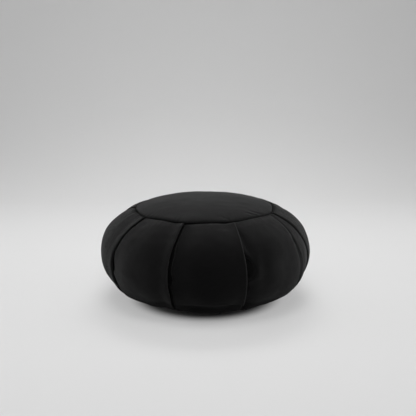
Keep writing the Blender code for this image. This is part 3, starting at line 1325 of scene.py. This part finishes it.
@dataclass(frozen=True)
class Studio:
    """A pale sweep of paper for the floor and the wall, soft lights and the camera.

    Round the cushion the paper glows with a painted pool of light, and its own colour is darker
    there, so that the shadow stays pale. The glow starts and fades out over distances from the
    middle of the foot. The camera looks down and to the right by so many degrees.
    """

    black: tuple[float, float, float, float] = (0.0, 0.0, 0.0, 1.0)
    paper: tuple[float, float, float, float] = (0.80, 0.80, 0.80, 1.0)
    lit_paper: tuple[float, float, float, float] = (0.38, 0.38, 0.38, 1.0)
    glow: tuple[float, float, float, float] = (0.37, 0.37, 0.37, 1.0)
    glow_starts: tuple[float, float] = (0.102, 0.14)
    glow_fades: tuple[float, float] = (0.5, 1.5)
    roughness: float = 0.9
    specular: float = 0.1
    half_width: float = 5.0
    front: float = -5.0
    bend_start: float = 0.75
    bend_radius: float = 0.6
    bend_steps: int = 24
    wall_height: float = 4.0
    floor_drop: float = 0.15 * MM
    world: tuple[float, float, float, float] = (0.90, 0.90, 0.90, 1.0)
    world_strength: float = 0.35
    camera_place: tuple[float, float, float] = (0.0, -1.3, 0.442)
    camera_down: float = 12.30
    camera_right: float = 0.20
    lens: float = 66.4
    clip: tuple[float, float] = (0.01, 50.0)
    lights: tuple[SoftLight, ...] = (
        SoftLight("left_box", (-1.5, 0.0, 0.6), (0.0, 0.0, 0.08), (1.0, 0.6), 4.9),
        SoftLight("right_box", (1.5, 0.0, 0.6), (0.0, 0.0, 0.08), (1.0, 0.6), 4.4),
        SoftLight("back_overhead", (0.0, 0.75, 1.4), (0.0, 0.1, 0.0), (1.0, 0.4), 2.4, 90.0),
        SoftLight("front_overhead", (0.0, -0.7, 1.6), (0.0, 0.0, 0.0), (0.8, 0.8), 2.6, 90.0),
        SoftLight("wall_wash", (0.0, -1.6, 1.4), (0.0, 1.2, 0.05), (0.6, 0.6), 0.55, 40.0),
    )

    def build(self) -> None:
        """Adds the sweep, the lights, the world and the camera."""
        self.sweep()
        for light in self.lights:
            light.build()
        world = bpy.data.worlds.new("studio")
        world.use_nodes = True
        background = world.node_tree.nodes["Background"]
        background.inputs["Color"].default_value = self.world
        background.inputs["Strength"].default_value = self.world_strength
        bpy.context.scene.world = world
        bpy.context.scene.view_settings.view_transform = "Standard"
        self.camera()

    def sweep(self) -> None:
        """Makes the floor and the wall behind it as one curved sheet."""
        turn = np.linspace(0.0, math.pi / 2, self.bend_steps)
        back = self.bend_start + self.bend_radius * np.sin(turn)
        up = self.bend_radius * (1 - np.cos(turn)) - self.floor_drop
        profile = [(self.front, -self.floor_drop), *zip(back, up), (float(back[-1]), self.wall_height)]
        points = np.array([(side * self.half_width, y, z) for y, z in profile for side in (-1, 1)])
        faces = [(low, low + 1, low + 3, low + 2) for low in range(0, len(points) - 2, 2)]
        floor = new_mesh("studio_sweep", points, faces)
        bench = Bench("studio_paper")
        place = bench.node("ShaderNodeNewGeometry").outputs["Position"]
        length = bench.node("ShaderNodeVectorMath", {"operation": "LENGTH"}, {0: place})
        out = length.outputs["Value"]
        # A painted pool of light: the paper glows round the cushion, and its colour is darker there.
        lit = bench.falling(out, *self.glow_fades)
        glows = lit * (1.0 - bench.falling(out, *self.glow_starts))
        surface = {
            "Base Color": bench.between(lit, self.paper, self.lit_paper),
            "Emission Color": bench.between(glows, self.black, self.glow),
            "Emission Strength": 1.0,
            "Roughness": self.roughness,
            "Specular IOR Level": self.specular,
        }
        shader = bench.node("ShaderNodeBsdfPrincipled", {}, surface)
        floor.data.materials.append(bench.finish(shader.outputs["BSDF"]))

    def camera(self) -> None:
        """Adds the camera at the photograph's angle."""
        camera = bpy.data.objects.new("camera", bpy.data.cameras.new("camera"))
        camera.data.lens = self.lens
        camera.data.clip_start, camera.data.clip_end = self.clip
        camera.location = self.camera_place
        tilt, turn = math.radians(90.0 - self.camera_down), math.radians(-self.camera_right)
        camera.rotation_euler = Euler((tilt, 0.0, turn))
        bpy.context.scene.collection.objects.link(camera)
        bpy.context.scene.camera = camera


@dataclass(frozen=True)
class Zafu:
    """The whole cushion."""

    side: PleatedSide = PleatedSide()
    top: RoundPanel = RoundPanel(
        "top_round",
        Seam.TOP,
        Puckers(seed=41, height=0.35 * MM),
        (
            Crease((46.0, 0.80), (50.0, 0.89), (55.0, 0.97), -1.0, 2.4),
            Crease((39.0, 0.82), (43.5, 0.90), (49.0, 0.97), -0.8, 2.4),
            Crease((12.0, 0.84), (16.0, 0.91), (20.0, 0.97), -0.5, 2.4),
        ),
    )
    bottom: RoundPanel = RoundPanel("bottom_round", Seam.BASE, Puckers(seed=42, height=0.35 * MM))
    cloth: BlackCotton = BlackCotton()
    fill: float = 0.95

    def build(self) -> None:
        """Makes the three pieces, dresses them and puts each in its solid's place."""
        cotton = self.cloth.material()
        for part in (self.side, self.top, self.bottom):
            piece = part.build()
            piece.data.materials.append(cotton)
            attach(piece, "root")
            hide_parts(part.node)
            size = len(piece.data.vertices), len(piece.data.polygons)
            LOG.info("%s: %d points, %d faces", piece.name, *size)


def main() -> None:
    """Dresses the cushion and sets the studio."""
    logging.basicConfig(level=logging.INFO, format="%(name)s: %(message)s")
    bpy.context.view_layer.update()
    Zafu().build()
    Studio().build()


if __name__ == "__main__":
    main()
